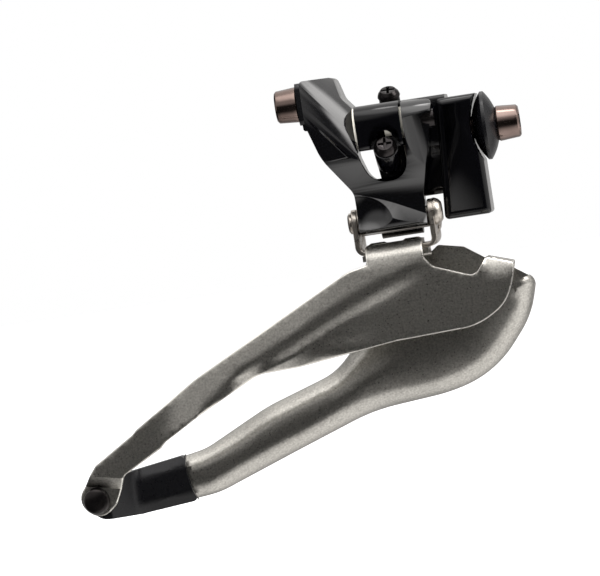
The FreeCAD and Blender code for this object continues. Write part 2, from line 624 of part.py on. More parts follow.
def cage_rivets():
    rivets = []
    stack = 2 * SHEET + BRACKET_SHEET
    for x in RIVET_X:
        profile = [(-RIVET_HEAD, 0), (-RIVET_HEAD, 1.5), (0, 2.1), (0, RIVET_RADIUS), (stack, RIVET_RADIUS),
                   (stack, 2.1), (stack + RIVET_HEAD, 1.5), (stack + RIVET_HEAD, 0)]
        rivets.append(turned(profile, V(x, RIVET_Y, FLANGE_TOP - stack), V(0, 0, 1)))
    return Part.makeCompound(rivets)


def outer_cage_plate():
    # long side plate, stepped inboard at its tail, with a rounded flange on top
    face = slab_xz([
        (FLANGE_LEFT, FLANGE_TOP - 4.0), (FLANGE_RIGHT, FLANGE_TOP - 4.0), (-12.0, -28.2, 2.5),
        (-3.2, -31.6, 2.0), (-0.4, -28.0, 0.6), (5.4, -29.9, 0.6), (5.0, -33.0, 14.0),
        (2.6, -38.5, 9.0), (-4.0, -42.4, 14.0),
        (-22.2, -43.1, 20.0), (-43.8, -45.7, 20.0), (-53.0, -46.0, 8.0), (-67.0, -53.0, 20.0),
        (-75.0, -57.5, 0.5), (-76.2, -58.7, 0.5), (-85.0, -63.4, 2.0),
        (TAIL_X + 4.2, TAIL_Z - 1.4, 3.0), (TAIL_X + 0.4, TAIL_Z - 4.6, 3.4),
        (TAIL_X - 4.6, TAIL_Z + 0.2, 3.4), (-91.0, -60.4, 1.5), (-82.0, -54.9, 0.5), (-80.9, -53.9, 0.5),
        (-66.8, -45.0, 40.0),
        (-30.4, -26.9, 12.0)], OUTER_FACE - 2, OUTER_FACE + 12)
    fold = V(0.979, 0, -0.204)
    down = V(-0.204, 0, -0.979)
    top = V(-90.0, 0, -63.0)
    y = OUTER_FACE
    step = TAIL_STEP

    def at(distance, depth):
        return top + down * distance + V(0, depth, 0) - fold * 60

    inner = y + SHEET
    points = [at(-80, y), at(0, y), at(2.6, y + step), at(30, y + step), at(30, inner + step),
              at(2.1, inner + step), at(-0.5, inner), at(-80, inner)]
    folded = Part.Face(Part.makePolygon(points + [points[0]])).extrude(fold * 260)
    plate = face.common(folded)
    bend = 3.0
    flange = slab_yz([(y, FLANGE_TOP - 4.2), (y, FLANGE_TOP, bend), (-5.8, FLANGE_TOP),
                      (-5.8, FLANGE_TOP - SHEET), (inner, FLANGE_TOP - SHEET, bend - SHEET),
                      (inner, FLANGE_TOP - 4.2)], FLANGE_LEFT, FLANGE_RIGHT)
    plate = plate.fuse(flange)
    plate = plate.fuse(nose_web())
    plate = plate.cut(rivet_holes(FLANGE_TOP - 3, FLANGE_TOP + 1))
    plate = plate.cut(Part.makeCylinder(1.6, 8, V(TAIL_X, OUTER_FACE, TAIL_Z), ALONG_Y))
    plate = plate.cut(nose_rivet_hole())
    return plate.removeSplitter()


def nose_web():
    # strap over the top of the nose, folded down against the inner plate
    y = OUTER_FACE
    bend = 1.8
    drop = 5.0
    back = INNER_FACE
    profile = [(y, -drop), (y, 0, bend), (back, 0, bend), (back, -drop), (back - SHEET, -drop),
               (back - SHEET, -SHEET, bend - SHEET), (y + SHEET, -SHEET, bend - SHEET), (y + SHEET, -drop)]
    wire = outline(profile, lambda py, pz: V(0, py, pz))
    strap = Part.Face(wire).extrude(V(6.1, 0, 0))
    strap.rotate(V(0, 0, 0), V(0, 1, 0), math.degrees(-NOSE_SLOPE))
    strap.translate(V(-0.4, 0, -27.9))
    return strap


def nose_rivet():
    stack = 2 * SHEET
    profile = [(-0.5, 0), (-0.5, 0.9), (0, 1.3), (0, NOSE_RIVET_RADIUS), (stack, NOSE_RIVET_RADIUS),
               (stack, 1.5), (stack + 0.5, 0.9), (stack + 0.5, 0)]
    return turned(profile, V(NOSE_RIVET_X, INNER_FACE - SHEET, NOSE_RIVET_Z), ALONG_Y)


def nose_rivet_hole():
    start = V(NOSE_RIVET_X, INNER_FACE - SHEET - 1, NOSE_RIVET_Z)
    return Part.makeCylinder(NOSE_RIVET_RADIUS + SEAT_GAP, 2 * SHEET + 2, start, ALONG_Y)


def inner_cage_plate():
    # deep side plate with a rolled rim from the nose round the bottom and up the rear
    front = slab_xz(INNER_OUTLINE, INNER_FACE, INNER_FACE + RIM_DEPTH)
    front = front.makeFillet(RIM_ROUND, edges_where(front, is_front_edge))
    wire = outline(INNER_OUTLINE, lambda x, z: V(x, INNER_FACE + SHEET, z))
    inset = Part.Face(wire).makeOffset2D(-SHEET)
    hollow = inset.extrude(V(0, RIM_DEPTH, 0))
    hollow = hollow.makeFillet(RIM_ROUND - SHEET, edges_where(hollow, is_hollow_edge))
    plate = front.cut(hollow)
    plate = plate.cut(slab_xz([(-40, -20), (8, -20), (8, -33.5), (-28, -45)], INNER_FACE + SHEET, 20))
    panel = slab_xz(INNER_OUTLINE, INNER_FACE, INNER_FACE + SHEET)
    keep = slab_xz([(-40, -20), (8, -20), (8, -33.5), (-28, -45)], INNER_FACE - 1, INNER_FACE + SHEET)
    plate = plate.fuse(panel.common(keep))
    top = FLANGE_TOP - SHEET - BRACKET_SHEET
    flange = slab_yz([(INNER_FACE + SHEET, -28.5), (INNER_FACE + SHEET, top, 2.2), (-12.0, top),
                      (-12.0, top - SHEET), (INNER_FACE, top - SHEET, 1.0), (INNER_FACE, -28.5)],
                     -27.0, -12.6)
    plate = plate.fuse(flange)
    tongue = slab_xz([(-72.0, -64.2), (-80.0, -65.0, 1.0), (-80.0, -70.5, 1.0), (-72.0, -69.0)],
                     INNER_FACE, INNER_FACE + SHEET)
    plate = plate.fuse(tongue)
    plate = plate.cut(rivet_holes(top - 3, top + 1))
    plate = plate.cut(nose_rivet_hole())
    return plate.removeSplitter()


def is_front_edge(edge):
    # every edge of the front face but the short one at the tail end
    ahead = any(v.Point.x > RIM_END for v in edge.Vertexes)
    return ahead and all(abs(v.Point.y - INNER_FACE) < 0.001 for v in edge.Vertexes)


def is_hollow_edge(edge):
    ahead = any(v.Point.x > RIM_END for v in edge.Vertexes)
    return ahead and all(abs(v.Point.y - INNER_FACE - SHEET) < 0.001 for v in edge.Vertexes)


def tail_spacer():
    # moulded arm that holds the two plates apart at the tail
    pad_back = OUTER_FACE + TAIL_STEP + SHEET
    back = INNER_FACE + SHEET + 2.6
    front = INNER_FACE - 1.6
    view = slab_xz([(-86.2, -63.6, 0.8), (-73.0, -61.6, 0.8), (-74.2, -66.0, 20.0), (-71.4, -71.9, 0.8),
                    (-84.0, -73.1, 2.0), (TAIL_X + 0.4, TAIL_Z - 4.3, 3.4),
                    (TAIL_X - 4.3, TAIL_Z + 0.2, 3.2), (-92.0, -64.6, 2.0)], pad_back, back)
    plan = slab_xy([(-97.5, pad_back), (-89.6, pad_back, 1.0), (-84.5, front, 3.0), (-70.0, front),
                    (-70.0, back), (-97.5, back, 2.0)], -80, -55)
    spacer = view.common(plan)
    end_x = -73.6
    spacer = spacer.cut(block(end_x, -60, INNER_FACE - SEAT_GAP, back + 1, -80, -55))
    slot = slab_xz([(end_x + 1, -63.3), (-80.1, -64.8), (-80.1, -70.7), (end_x + 1, -70.2)],
                   INNER_FACE - SEAT_GAP, INNER_FACE + SHEET + SEAT_GAP)
    spacer = spacer.cut(slot)
    bore = Part.makeCylinder(1.5 + SEAT_GAP, 30, V(TAIL_X, pad_back - 1, TAIL_Z), ALONG_Y)
    well = Part.makeCylinder(2.2 + SEAT_GAP, 30, V(TAIL_X, INNER_FACE - 4, TAIL_Z), ALONG_Y)
    return spacer.cut(bore).cut(well)


def tail_screw():
    # button head screw that holds the outer plate's pad to the spacer
    profile = [(-1.6, 0), (-1.6, 1.9), (-1.3, 2.6), (-0.3, 3.0), (0, 2.9), (0, 1.5), (12.6, 1.5),
               (13.0, 1.1), (13.0, 0)]
    return turned(profile, V(TAIL_X, OUTER_FACE + TAIL_STEP, TAIL_Z), ALONG_Y)


def tail_insert():
    return Part.makeCylinder(2.2, 3.6, V(TAIL_X, INNER_FACE - 4, TAIL_Z), ALONG_Y).cut(
        Part.makeCylinder(1.5 + SEAT_GAP, 10, V(TAIL_X, INNER_FACE - 6, TAIL_Z), ALONG_Y))


def pivot_pin(centre, head):
    # pin with a domed head on the front ear and a hollow flared end on the rear ear
    right = EAR_RIGHT
    left = EAR_LEFT
    length = right - left
    profile = [(-head, 0), (-head, 1.9), (-head * 0.7, 2.6), (-head * 0.25, 3.0), (0, 3.0),
               (0, LOWER_PIN_RADIUS), (length, LOWER_PIN_RADIUS),
               (length, 2.3), (length + 0.5, 2.3), (length + 0.9, 1.8), (length + 0.9, 0)]
    pin = turned(profile, V(right, centre[0], centre[1]), V(-1, 0, 0))
    return pin.cut(rod(left - 2, left + 0.5, centre, 1.0))


def pivot_washers():
    # thin washer between the outer link's foot and the rear ear
    right = BARREL_LEFT - SIDE_GAP / 2
    return tube(right - PIVOT_WASHER, right, LOWER_OUTER, 2.9, LOWER_PIN_RADIUS + RUNNING_GAP)


def pivot_sleeves():
    # spacers on the lower inner pin, between the inner link and the ears
    bore = LOWER_PIN_RADIUS + RUNNING_GAP
    left = tube(EAR_LEFT + EAR_SHEET, INNER_BARREL_LEFT - SIDE_GAP, LOWER_INNER, 2.0, bore)
    right = tube(INNER_BARREL_RIGHT + SIDE_GAP, EAR_RIGHT - EAR_SHEET, LOWER_INNER, 2.0, bore)
    return Part.makeCompound([left, right])


def save(name, shape):
    solids = shape.Solids
    volume = sum(s.Volume for s in solids)
    good = all(s.isValid() and s.isClosed() for s in solids)
    print(name, "solids", len(solids), "volume", round(volume, 1), "valid", good)
    shape.exportStep("parts/" + name + ".step")


def main():
    os.makedirs("parts", exist_ok=True)
    body = mount_body().fuse(low_screw_pad())
    body = body.cut(Part.makeCylinder(LIMIT_SCREW_RADIUS + SEAT_GAP, 8, LOW_SEAT - LOW_INTO, LOW_INTO))
    save("mount_body", body.removeSplitter())
    save("fixing_bolt", fixing_bolt())
    save("fixing_washer", fixing_washer())
    save("upper_outer_pin", rod(-31.5 + 0.05, RIGHT_ARM_OUTER - 0.2, UPPER_OUTER, UPPER_PIN_RADIUS))
    save("upper_inner_pin", rod(KNUCKLE_LEFT, INNER_RIGHT + 3.9, UPPER_INNER, UPPER_INNER_PIN_RADIUS))
    save("upper_bushes", Part.makeCompound([upper_bush(KNUCKLE_LEFT, 1, BUSH_FLANGE_RADIUS),
                                              upper_bush(KNUCKLE_RIGHT, -1, REAR_FLANGE_RADIUS)]))
    save("high_limit_screw", limit_screw(HIGH_SEAT, HIGH_INTO, high_screw_length()))
    save("low_limit_screw", limit_screw(LOW_SEAT, LOW_INTO, low_screw_length()))
    save("outer_link", outer_link())
    anchor_seat = V(ANCHOR_FACE - ANCHOR_WASHER, ANCHOR_Y, ANCHOR_Z)
    save("cable_anchor_bolt", tapered_bolt(anchor_seat, ALONG_X, 8.0))
    save("cable_anchor_washer", anchor_washer())
    save("inner_link", inner_link())
    save("return_spring", return_spring())
    save("spring_sleeve", spring_sleeve())
    save("cage_bracket", cage_bracket())
    save("cage_rivets", cage_rivets())
    save("outer_cage_plate", outer_cage_plate())
    save("nose_rivet", nose_rivet())
    save("inner_cage_plate", inner_cage_plate())
    save("tail_spacer", tail_spacer())
    save("tail_screw", tail_screw())
    save("tail_insert", tail_insert())
    save("lower_outer_pin", pivot_pin(LOWER_OUTER, PIN_HEAD))
    save("lower_inner_pin", pivot_pin(LOWER_INNER, PIN_HEAD / 3))
    save("pivot_washers", pivot_washers())
    save("pivot_sleeves", pivot_sleeves())


main()
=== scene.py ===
# %% [markdown]
# # Front derailleur, finished in Blender
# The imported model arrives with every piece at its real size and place. Nothing is moved here. This
# lesson gives each piece its finish, rounds its edges, adds the small forms that are only looks, and
# sets up a plain studio with the camera where the photographer stood.

import json
import math

import bmesh
import bpy
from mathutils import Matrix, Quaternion, Vector
from mathutils.bvhtree import BVHTree


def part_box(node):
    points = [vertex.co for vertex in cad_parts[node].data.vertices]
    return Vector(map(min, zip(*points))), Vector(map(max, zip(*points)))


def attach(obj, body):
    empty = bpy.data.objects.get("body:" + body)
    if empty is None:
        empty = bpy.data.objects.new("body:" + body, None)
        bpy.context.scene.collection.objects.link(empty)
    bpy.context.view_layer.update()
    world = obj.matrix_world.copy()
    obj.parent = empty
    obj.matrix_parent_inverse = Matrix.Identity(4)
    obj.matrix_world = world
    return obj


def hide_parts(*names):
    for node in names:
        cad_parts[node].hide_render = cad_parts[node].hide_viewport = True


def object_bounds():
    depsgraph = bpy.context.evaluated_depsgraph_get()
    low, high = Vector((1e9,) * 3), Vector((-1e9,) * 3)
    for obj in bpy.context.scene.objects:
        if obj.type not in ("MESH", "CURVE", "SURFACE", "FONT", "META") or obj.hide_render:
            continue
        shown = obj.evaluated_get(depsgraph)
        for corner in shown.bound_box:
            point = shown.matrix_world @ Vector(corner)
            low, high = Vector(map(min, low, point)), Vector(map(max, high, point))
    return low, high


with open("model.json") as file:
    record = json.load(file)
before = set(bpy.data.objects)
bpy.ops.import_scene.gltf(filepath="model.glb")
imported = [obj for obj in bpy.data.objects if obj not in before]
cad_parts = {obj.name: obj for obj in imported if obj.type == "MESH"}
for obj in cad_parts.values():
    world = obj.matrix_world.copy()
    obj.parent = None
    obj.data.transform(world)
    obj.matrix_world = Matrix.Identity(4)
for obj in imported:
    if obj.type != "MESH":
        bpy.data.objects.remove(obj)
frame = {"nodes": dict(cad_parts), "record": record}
cad_low, cad_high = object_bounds()
nodes = frame["nodes"]
MM = 0.001
print("nodes loaded:", len(nodes))

# %% [markdown]
# ## The camera
# A derailleur is photographed from the drive side, a little from the front and from a touch above,
# with the whole part turned so that the pivots rise to the right. A camera can be placed with a
# constraint, but angles are clearer here: yaw, elevation and roll about the line of sight, and a long
# lens from far away so that the plates keep their shape.

# %% Place the camera
CAMERA_YAW = math.radians(6.0)
CAMERA_ELEVATION = math.radians(1.5)
CAMERA_ROLL = math.radians(8.66)
CAMERA_DISTANCE = 0.9
CAMERA_AIM = Vector((-41.65, -10.0, -28.9)) * MM
SENSOR_WIDTH = 36.0
PICTURE_WIDTH = 600
PIXELS_PER_METRE = 4600


def make_camera():
    flat = math.cos(CAMERA_ELEVATION)
    sight = Vector((-math.sin(CAMERA_YAW) * flat, math.cos(CAMERA_YAW) * flat,
                    -math.sin(CAMERA_ELEVATION)))
    data = bpy.data.cameras.new("camera")
    data.sensor_width = SENSOR_WIDTH
    data.lens = SENSOR_WIDTH * CAMERA_DISTANCE * PIXELS_PER_METRE / PICTURE_WIDTH
    data.clip_end = 10.0
    camera = bpy.data.objects.new("camera", data)
    camera.location = CAMERA_AIM - sight * CAMERA_DISTANCE
    camera.rotation_mode = "QUATERNION"
    level = sight.to_track_quat("-Z", "Y")
    camera.rotation_quaternion = level @ Quaternion((0, 0, 1), -CAMERA_ROLL)
    bpy.context.scene.collection.objects.link(camera)
    bpy.context.scene.camera = camera
    return camera


camera = make_camera()
bpy.context.scene.view_settings.view_transform = "Standard"
print("lens", round(camera.data.lens), "mm at", CAMERA_DISTANCE, "m")

# %% [markdown]
# ## A small kit for finishes
# Every finish starts from the Principled shader. A number that is the same all over goes on the
# shader's own socket. What varies, such as grain or wear, is a noise texture in object space, so the
# pattern stays on the metal from every side.


# %% Helpers for node materials
NOISE_LOW = 0.3
NOISE_HIGH = 0.7


def principled(material):
    return material.node_tree.nodes["Principled BSDF"]


def new_material(name, color, metallic, roughness):
    material = bpy.data.materials.new(name)
    material.use_nodes = True
    shader = principled(material)
    shader.inputs["Base Color"].default_value = (*color, 1)
    shader.inputs["Metallic"].default_value = metallic
    shader.inputs["Roughness"].default_value = roughness
    return material


def add_noise(material, scale, stretch=(1, 1, 1), detail=4.0):
    tree = material.node_tree
    place = tree.nodes.new("ShaderNodeTexCoord")
    mapping = tree.nodes.new("ShaderNodeMapping")
    mapping.inputs["Scale"].default_value = stretch
    noise = tree.nodes.new("ShaderNodeTexNoise")
    noise.inputs["Scale"].default_value = scale
    noise.inputs["Detail"].default_value = detail
    tree.links.new(place.outputs["Object"], mapping.inputs["Vector"])
    tree.links.new(mapping.outputs["Vector"], noise.inputs["Vector"])
    return noise


print("noise is read from", NOISE_LOW, "to", NOISE_HIGH)

# %% [markdown]
# A noise can do three jobs. It can move a number on the shader, such as the roughness, between two
# values. It can blend two near colours. Or it can stand as a height, which a Bump node turns into
# tiny slopes. A noise seldom leaves its middle values, so only those are stretched over the range.

# %% Let a noise vary a finish
def vary(material, noise, socket, low, high):
    tree = material.node_tree
    spread = tree.nodes.new("ShaderNodeMapRange")
    spread.inputs["From Min"].default_value = NOISE_LOW
    spread.inputs["From Max"].default_value = NOISE_HIGH
    spread.inputs["To Min"].default_value = low
    spread.inputs["To Max"].default_value = high
    tree.links.new(noise.outputs["Fac"], spread.inputs["Value"])
    tree.links.new(spread.outputs["Result"], principled(material).inputs[socket])


def tint(material, noise, dark, light):
    tree = material.node_tree
    ramp = tree.nodes.new("ShaderNodeValToRGB")
    ramp.color_ramp.elements[0].position = NOISE_LOW
    ramp.color_ramp.elements[1].position = NOISE_HIGH
    ramp.color_ramp.elements[0].color = (*dark, 1)
    ramp.color_ramp.elements[1].color = (*light, 1)
    tree.links.new(noise.outputs["Fac"], ramp.inputs["Fac"])
    tree.links.new(ramp.outputs["Color"], principled(material).inputs["Base Color"])


def emboss(material, noise, strength, depth):
    tree = material.node_tree
    bump = tree.nodes.new("ShaderNodeBump")
    bump.inputs["Strength"].default_value = strength
    bump.inputs["Distance"].default_value = depth
    tree.links.new(noise.outputs["Fac"], bump.inputs["Height"])
    tree.links.new(bump.outputs["Normal"], principled(material).inputs["Normal"])


finishes = {}
print("a noise can vary a number, tint a colour or emboss a surface")

# %% [markdown]
# ## Polished black metal
# The forged body and the fork are black anodised and polished like a piano. The colour under the
# gloss is nearly nothing, so what the eye sees is the reflection of the room. A clear coat over a
# dark base gives that depth. The body reflects less than the fork, as it does in the photo. The
# washers are a duller black, and the screws are steel blackened in a hot bath.

# %% Black finishes
def polished_black(name, specular, coat):
    material = new_material(name, (0.0012, 0.0012, 0.0018), 0.0, 0.12)
    shader = principled(material)
    shader.inputs["Specular IOR Level"].default_value = specular
    shader.inputs["Coat Weight"].default_value = coat
    shader.inputs["Coat Roughness"].default_value = 0.04
    vary(material, add_noise(material, 900), "Roughness", 0.1, 0.16)
    emboss(material, add_noise(material, 260, detail=1.0), 0.06, 0.00005)
    return material


def satin_black():
    material = new_material("satin_black", (0.004, 0.004, 0.005), 0.0, 0.3)
    principled(material).inputs["Specular IOR Level"].default_value = 0.4
    noise = add_noise(material, 2600)
    vary(material, noise, "Roughness", 0.24, 0.34)
    emboss(material, noise, 0.1, 0.00002)
    return material


def black_oxide():
    material = new_material("black_oxide", (0.025, 0.022, 0.022), 0.85, 0.26)
    noise = add_noise(material, 500)
    vary(material, noise, "Roughness", 0.13, 0.22)
    tint(material, noise, (0.018, 0.016, 0.017), (0.035, 0.031, 0.03))
    return material


finishes["black_anodised"] = polished_black("polished_fork", 0.65, 0.45)
finishes["black_body"] = polished_black("polished_body", 0.3, 0.2)
finishes["black_satin"] = satin_black()
finishes["black_washer"] = satin_black()
finishes["black_screw"] = black_oxide()
print("black finishes:", len(finishes))

# %% [markdown]
# ## Cage metal
# The cage plates are bead blasted sheet: a grey that turns almost black where it faces the dark
# side of the room and nearly white where it curves towards a bright card. That swing is what metal
# with a medium roughness does. A very fine noise roughens it and breaks up the highlight. Where the
# press has cut the sheet, a brighter metal colour paints the highlight along the edge.

# %% Cage finishes
def blasted_grey():
    material = new_material("blasted_grey", (0.42, 0.405, 0.375), 1.0, 0.33)
    noise = add_noise(material, 2600, detail=2.0)
    vary(material, noise, "Roughness", 0.27, 0.40)
    tint(material, add_noise(material, 2300, detail=3.0), (0.33, 0.318, 0.295), (0.53, 0.515, 0.478))
    emboss(material, noise, 0.1, 0.00002)
    return material


# brighter metal colour for the narrow band along the cut edge: a painted highlight
def painted_edge_highlight():
    material = new_material("painted_edge_highlight", (0.74, 0.72, 0.67), 1.0, 0.3)
    vary(material, add_noise(material, 2200), "Roughness", 0.22, 0.4)
    return material


finishes["cage_metal"] = blasted_grey()
finishes["painted_edge_highlight"] = painted_edge_highlight()
print("cage finishes added, now", len(finishes))

# %% [markdown]
# ## Pins, spring and bolts
# The pins, the rivets and the spring are bright steel, and the two big bolts have a bronze coloured
# coat. All of them were turned or drawn, so their marks run one way. A noise that is stretched along
# one axis gives such marks without any image. The insert in the tail is plain brass.

# %% Turned and drawn metal
def bright_steel():
    material = new_material("bright_steel", (0.55, 0.51, 0.46), 1.0, 0.3)
    vary(material, add_noise(material, 1500, (0.2, 1, 1)), "Roughness", 0.24, 0.38)
    tint(material, add_noise(material, 300), (0.42, 0.38, 0.34), (0.58, 0.54, 0.49))
    return material


def bronze_bolt():
    material = new_material("bronze_bolt", (0.23, 0.17, 0.15), 1.0, 0.26)
    vary(material, add_noise(material, 1600, (0.1, 1, 1)), "Roughness", 0.12, 0.2)
    tint(material, add_noise(material, 200), (0.17, 0.125, 0.11), (0.24, 0.18, 0.16))
    return material


def machined_brass():
    material = new_material("machined_brass", (0.7, 0.52, 0.26), 1.0, 0.3)
    vary(material, add_noise(material, 900, (1, 8, 1)), "Roughness", 0.22, 0.38)
    return material


finishes["steel_pin"] = bright_steel()
finishes["stainless"] = bright_steel()
finishes["spring_steel"] = bright_steel()
finishes["bronze_bolt"] = bronze_bolt()
finishes["brass_insert"] = machined_brass()
print("metal finishes added, now", len(finishes))

# %% [markdown]
# ## Plastics
# The bushes are a cream coloured bearing plastic and the tail spacer is moulded black. Neither is a
# metal, so the highlight is white and weak. The moulded face has a fine grain from its mould, which
# is a noise used both as roughness and as a very low bump.

# %% Plastic finishes
def cream_bush():
    material = new_material("cream_bush", (0.8, 0.76, 0.66), 0.0, 0.4)
    tint(material, add_noise(material, 700), (0.74, 0.7, 0.6), (0.84, 0.8, 0.71))
    return material


def moulded_black():
    material = new_material("moulded_black", (0.003, 0.003, 0.004), 0.0, 0.34)
    principled(material).inputs["Specular IOR Level"].default_value = 0.35
    noise = add_noise(material, 2400)
    vary(material, noise, "Roughness", 0.26, 0.4)
    emboss(material, noise, 0.2, 0.00003)
    return material


finishes["cream_bush"] = cream_bush()
finishes["black_plastic"] = moulded_black()
print("finishes:", len(finishes))

# %% [markdown]
# ## Dressing the model's own pieces
# No real edge is a knife edge: each one is broken by a file, a die or a mould, and the thin line of
# light on it is much of what looks real. A Bevel modifier rounds the edges without touching the mesh
# underneath. A Weld comes first, because the imported mesh is split along its edges. The widths are
# in millimetres, and the threshold of the weld is in metres.

# %% Put finishes and rounded edges on every node
EDGE_ROUNDING = {
    "mount_body": 0.35, "outer_link": 0.5, "inner_link": 0.25, "fixing_washer": 0.25,
    "cable_anchor_washer": 0.2, "cage_bracket": 0.2,
}
SMALL_EDGE = 0.08
ROUNDING_SEGMENTS = 3
WELD_REACH = 0.000002
OTHER_FINISH = {"upper_outer_pin": "black_screw", "mount_body": "black_body"}
BEVEL_ANGLE = math.radians(28)


def dress(name, slot):
    piece = nodes[name]
    piece.data.materials.clear()
    piece.data.materials.append(finishes[OTHER_FINISH.get(name, slot)])
    weld = piece.modifiers.new("weld", "WELD")
    weld.merge_threshold = WELD_REACH
    bevel = piece.modifiers.new("rounded_edges", "BEVEL")
    bevel.width = EDGE_ROUNDING.get(name, SMALL_EDGE) * MM
    bevel.segments = ROUNDING_SEGMENTS
    bevel.limit_method = "ANGLE"
    bevel.angle_limit = BEVEL_ANGLE
    bevel.use_clamp_overlap = True
    bevel.harden_normals = True
    for face in piece.data.polygons:
        face.use_smooth = True


for part in frame["record"]["subparts"]:
    dress(part["node"], part["material_slot"])

# %% [markdown]
# ## Pressing the cage plates
# The real plates are stamped: the outer one has an S-shaped crease that runs from the bracket down to
# the lower edge, and the big lobe of the inner one rolls away from the chain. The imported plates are
# flat there. A copy of each plate is sliced into a fine grid, and its points are pushed inboard by a
# height that depends only on where they are, so both sides of the sheet move together.

# %% Helpers for pressed sheet
GRID = 1.2 * MM
SAME_PLANE = 0.001 * MM
SHARP_CORNER = math.radians(42)


def step(value, low, high):
    # smooth rise from 0 at low to 1 at high, or the other way when high is the smaller
    t = min(max((value - low) / (high - low), 0.0), 1.0)
    return t * t * (3 - 2 * t)


def slice_grid(form, low, high, pitch):
    for axis in (0, 2):
        normal = Vector((0, 0, 0))
        normal[axis] = 1
        count = int((high[axis] - low[axis]) / pitch)
        for i in range(1, count):
            place = Vector((0, 0, 0))
            place[axis] = low[axis] + i * pitch
            everything = form.verts[:] + form.edges[:] + form.faces[:]
            bmesh.ops.bisect_plane(form, geom=everything, dist=SAME_PLANE, plane_co=place, plane_no=normal)


def smooth_but_sharp(form):
    # smooth faces, with the real corners kept as sharp edges
    for face in form.faces:
        face.smooth = True
    for edge in form.edges:
        if len(edge.link_faces) == 2 and edge.calc_face_angle() > SHARP_CORNER:
            edge.smooth = False


print("sheet is sliced every", round(GRID / MM, 1), "mm")

# %% [markdown]
# ### Broken edges
# The outer plate shows a bright line all round its cut edge, which is broken. A Bevel with two
# segments makes that narrow band, and its material number gives the band a brighter metal colour,
# a painted highlight.
# The imported mesh is made of thin triangles, which would stop a bevel, so flat faces are joined first.
# A few points still land far from the plate, and they are put back on its surface.

# %% Copy a plate and break its cut edges
FLAT_WITHIN = math.radians(1.5)
CUT_CORNER = math.radians(65)
CUT_EDGE_WIDTH = 0.28 * MM
STRAY_SHARE = 0.4


def welded_holder(name):
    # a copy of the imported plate, with its split edges joined again
    holder = bpy.data.objects.new("holder", nodes[name].data.copy())
    bpy.context.scene.collection.objects.link(holder)
    weld = holder.modifiers.new("weld", "WELD")
    weld.merge_threshold = WELD_REACH
    return holder


def as_mesh(holder):
    # the mesh with its modifiers applied
    seen = holder.evaluated_get(bpy.context.evaluated_depsgraph_get())
    mesh = bpy.data.meshes.new_from_object(seen)
    bpy.data.objects.remove(holder)
    return mesh


def drop_strays(mesh, original, reach):
    form = bmesh.new()
    form.from_mesh(original)
    surface = BVHTree.FromBMesh(form)
    form.free()
    moved = 0
    for vert in mesh.vertices:
        place, normal, index, distance = surface.find_nearest(vert.co)
        if distance > STRAY_SHARE * reach:
            vert.co = place
            moved += 1
    print("strays put back:", moved)


def broken_edge_copy(name, edge_width):
    holder = welded_holder(name)
    flat = holder.modifiers.new("flat_faces", "DECIMATE")
    flat.decimate_type = "DISSOLVE"
    flat.angle_limit = FLAT_WITHIN
    holder.data.materials.clear()
    holder.data.materials.append(finishes["cage_metal"])
    holder.data.materials.append(finishes["painted_edge_highlight"])
    # the band this bevel makes carries the brighter metal colour, a painted highlight along the edge
    bevel = holder.modifiers.new("painted_edge_highlight", "BEVEL")
    bevel.width = edge_width
    bevel.segments = 2
    bevel.limit_method = "ANGLE"
    bevel.angle_limit = CUT_CORNER
    bevel.use_clamp_overlap = False
    bevel.material = 1
    mesh = as_mesh(holder)
    drop_strays(mesh, nodes[name].data, edge_width)
    return mesh


outer_sheet = broken_edge_copy("outer_cage_plate", CUT_EDGE_WIDTH)
print("outer plate before pressing, faces:", len(outer_sheet.polygons))

# %% [markdown]
# ### The press
# The press itself is one function for both plates. It slices the sheet, asks a height function how
# far each point goes inboard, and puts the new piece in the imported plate's place. Heights and places
# are in millimetres, as on a drawing.

# %% Press a plate
def press_plate(name, mesh, height):
    mesh.name = name + "_pressed"
    form = bmesh.new()
    form.from_mesh(mesh)
    bmesh.ops.triangulate(form, faces=form.faces[:])
    low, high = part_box(name)
    slice_grid(form, low, high, GRID)
    for vert in form.verts:
        x, y, z = vert.co / MM
        vert.co.y += height(x, y, z) * MM
    smooth_but_sharp(form)
    form.to_mesh(mesh)
    form.free()
    piece = bpy.data.objects.new(name + "_pressed", mesh)
    bpy.context.scene.collection.objects.link(piece)
    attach(piece, "cage")
    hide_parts(name)
    print(piece.name, "faces:", len(mesh.polygons))


plate_low, plate_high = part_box("outer_cage_plate")
print("outer plate is", round((plate_high.x - plate_low.x) / MM, 1), "mm long")

# %% [markdown]
# ### Where the creases run
# Two creases cross the outer plate. The first is a straight slope with a shallow bow in its middle,
# and it bends down a little at the tail. The second is straight and softer. Each is written as a
# height z for every x, so that a point can be told to lie above or below it.

# %% Lines of the two creases
CREASE_START = (-18.06, -29.2)
CREASE_SLOPE = 0.436
CREASE_ACROSS = 0.917
BOW_HEIGHT = 0.9
BOW_MIDDLE = -35.7
BOW_REACH = 17.6
BOW_LOWEST = -2.0
TAIL_BEND = -60.0
TAIL_BEND_SLOPE = 0.2
SECOND_START = (-24.1, -38.7)
SECOND_SLOPE = 0.294
SECOND_ACROSS = 0.96


def crease_height(x):
    bow = BOW_HEIGHT * (1 - ((x - BOW_MIDDLE) / BOW_REACH) ** 2)
    line = CREASE_START[1] + CREASE_SLOPE * (x - CREASE_START[0]) + max(bow, BOW_LOWEST)
    return line - TAIL_BEND_SLOPE * max(TAIL_BEND - x, 0.0)


def second_height(x):
    return SECOND_START[1] + SECOND_SLOPE * (x - SECOND_START[0])


print("first crease falls from", round(crease_height(-24.0), 1), "to", round(crease_height(-70.5), 1))

# %% [markdown]
# ### The outer plate's relief
# Above the crease the strip lies back and leans, so it catches the light from overhead. A narrow dark
# valley follows, then a bright ridge, a second softer line, and the flat face. The lowest lobe turns
# inboard at its edge. Near the bracket, the nose and the tail the relief fades to nothing, because
# other pieces sit on the plate there. The flange under the bracket and the tab at the nose lean back.

